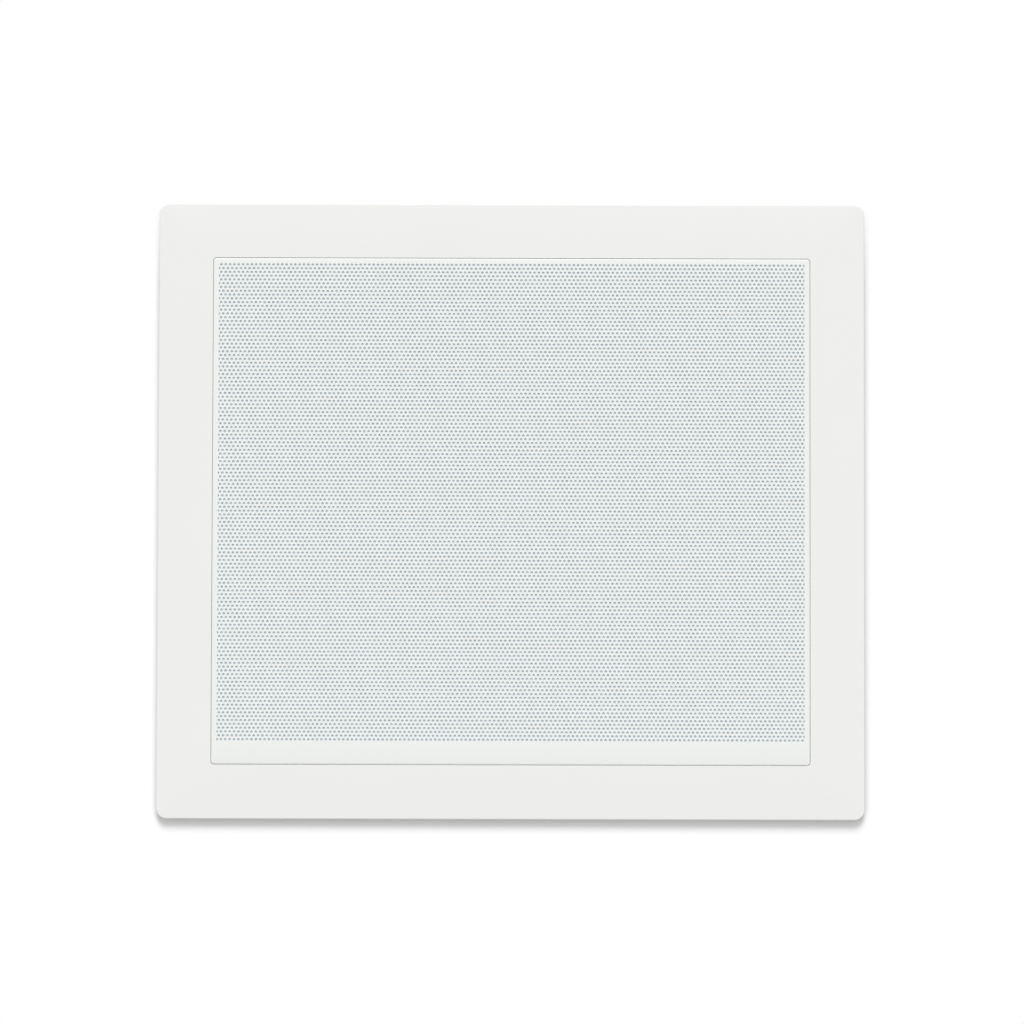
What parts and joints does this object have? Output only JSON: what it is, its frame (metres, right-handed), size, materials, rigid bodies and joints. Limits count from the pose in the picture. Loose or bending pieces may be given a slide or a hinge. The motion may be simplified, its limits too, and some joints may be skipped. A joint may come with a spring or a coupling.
{
  "type": "ceiling speaker",
  "caption": "Rectangular two-way ceiling speaker: a flat white frame round a perforated steel grille, with woofer, tweeter, crossover and swing-out clamps behind it.",
  "frame": {"origin": "centre of the front face, in the plane of that face", "axes": "+Z from the front face up into the ceiling; +X along the long side, to the right as seen from below with the grille's wide plain margin nearest; +Y along the short side, towards that margin"},
  "size_m": [0.405, 0.353, 0.088],
  "materials": {
    "frame_plastic": "satin",
    "grille_paint": "satin",
    "grille_cloth": "woven",
    "nickel": "plated",
    "gasket_foam": "matte",
    "basket_paint": "satin",
    "surround_rubber": "matte",
    "cone_plastic": "satin",
    "spider_cloth": "resin-stiffened",
    "former_aluminium": "plain",
    "copper": "enamelled copper wire",
    "plate_steel": "zinc plated",
    "ferrite": "matte",
    "phenolic": "laminate",
    "tag_brass": "tinned",
    "screw_steel": "zinc plated",
    "faceplate_plastic": "satin",
    "dome_silk": "coated",
    "board_green": "solder mask",
    "bobbin_plastic": "satin",
    "film_yellow": "taped",
    "sleeve_blue": "sleeved",
    "ceramic_white": "ceramic",
    "block_green": "moulded",
    "lead_red": "insulated wire",
    "lead_black": "insulated wire",
    "bracket_steel": "zinc plated",
    "arm_plastic": "moulded"
  },
  "bodies": {
    "speaker_frame": {"mounting_frame": "frame_plastic", "neck": "frame_plastic", "baffle": "frame_plastic", "tower_walls": "frame_plastic", "tower_stops": "frame_plastic", "grille": "grille_paint", "grille_cloth": "grille_cloth", "grille_magnets": "nickel", "woofer_gasket": "gasket_foam", "woofer_basket": "basket_paint", "woofer_surround": "surround_rubber", "woofer_spider": "spider_cloth", "woofer_top_plate": "plate_steel", "woofer_magnet": "ferrite", "woofer_yoke": "plate_steel", "woofer_terminal_strip": "phenolic", "woofer_terminals": "tag_brass", "woofer_screws": "screw_steel", "tweeter_faceplate": "faceplate_plastic", "tweeter_dome": "dome_silk", "tweeter_top_plate": "plate_steel", "tweeter_magnet": "ferrite", "tweeter_yoke": "plate_steel", "tweeter_terminal_strip": "phenolic", "tweeter_terminals": "tag_brass", "tweeter_screws": "screw_steel", "crossover_board": "board_green", "woofer_inductor_bobbin": "bobbin_plastic", "woofer_inductor_winding": "copper", "tweeter_inductor_bobbin": "bobbin_plastic", "tweeter_inductor_winding": "copper", "film_capacitor": "film_yellow", "electrolytic_capacitor": "sleeve_blue", "cement_resistor": "ceramic_white", "terminal_block": "block_green", "terminal_screws": "screw_steel", "board_screws": "screw_steel", "woofer_lead_red": "lead_red", "woofer_lead_black": "lead_black", "tweeter_lead_red": "lead_red", "tweeter_lead_black": "lead_black", "safety_bracket": "bracket_steel", "bracket_screws": "screw_steel"},
    "cone_assembly": {"woofer_cone": "cone_plastic", "woofer_dust_cap": "cone_plastic", "voice_coil_former": "former_aluminium", "voice_coil_winding": "copper"},
    "clamp_1_screw": {"clamp_screw_1": "screw_steel"},
    "clamp_1_arm": {"clamp_arm_1": "arm_plastic"},
    "clamp_2_screw": {"clamp_screw_2": "screw_steel"},
    "clamp_2_arm": {"clamp_arm_2": "arm_plastic"},
    "clamp_3_screw": {"clamp_screw_3": "screw_steel"},
    "clamp_3_arm": {"clamp_arm_3": "arm_plastic"},
    "clamp_4_screw": {"clamp_screw_4": "screw_steel"},
    "clamp_4_arm": {"clamp_arm_4": "arm_plastic"}
  },
  "joints": [
    {"name": "cone_travel", "type": "slide", "parent": "speaker_frame", "child": "cone_assembly", "axis": [0, 0, 1], "range_m": [-0.004, 0.004], "stiffness_N_per_m": 1500, "deforming": ["woofer_surround", "woofer_spider"]},
    {"name": "clamp_1_swing", "type": "hinge", "parent": "speaker_frame", "child": "clamp_1_screw", "pos_m": [0.12, 0.138, 0.012], "axis": [0, 0, 1], "range_deg": [0, 90]},
    {"name": "clamp_1_travel", "type": "slide", "parent": "clamp_1_screw", "child": "clamp_1_arm", "axis": [0, 0, -1], "range_m": [0, 0.033]},
    {"name": "clamp_2_swing", "type": "hinge", "parent": "speaker_frame", "child": "clamp_2_screw", "pos_m": [-0.12, 0.138, 0.012], "axis": [0, 0, 1], "range_deg": [0, 90]},
    {"name": "clamp_2_travel", "type": "slide", "parent": "clamp_2_screw", "child": "clamp_2_arm", "axis": [0, 0, -1], "range_m": [0, 0.033]},
    {"name": "clamp_3_swing", "type": "hinge", "parent": "speaker_frame", "child": "clamp_3_screw", "pos_m": [-0.12, -0.138, 0.012], "axis": [0, 0, 1], "range_deg": [0, 90]},
    {"name": "clamp_3_travel", "type": "slide", "parent": "clamp_3_screw", "child": "clamp_3_arm", "axis": [0, 0, -1], "range_m": [0, 0.033]},
    {"name": "clamp_4_swing", "type": "hinge", "parent": "speaker_frame", "child": "clamp_4_screw", "pos_m": [0.12, -0.138, 0.012], "axis": [0, 0, 1], "range_deg": [0, 90]},
    {"name": "clamp_4_travel", "type": "slide", "parent": "clamp_4_screw", "child": "clamp_4_arm", "axis": [0, 0, -1], "range_m": [0, 0.033]}
  ]
}
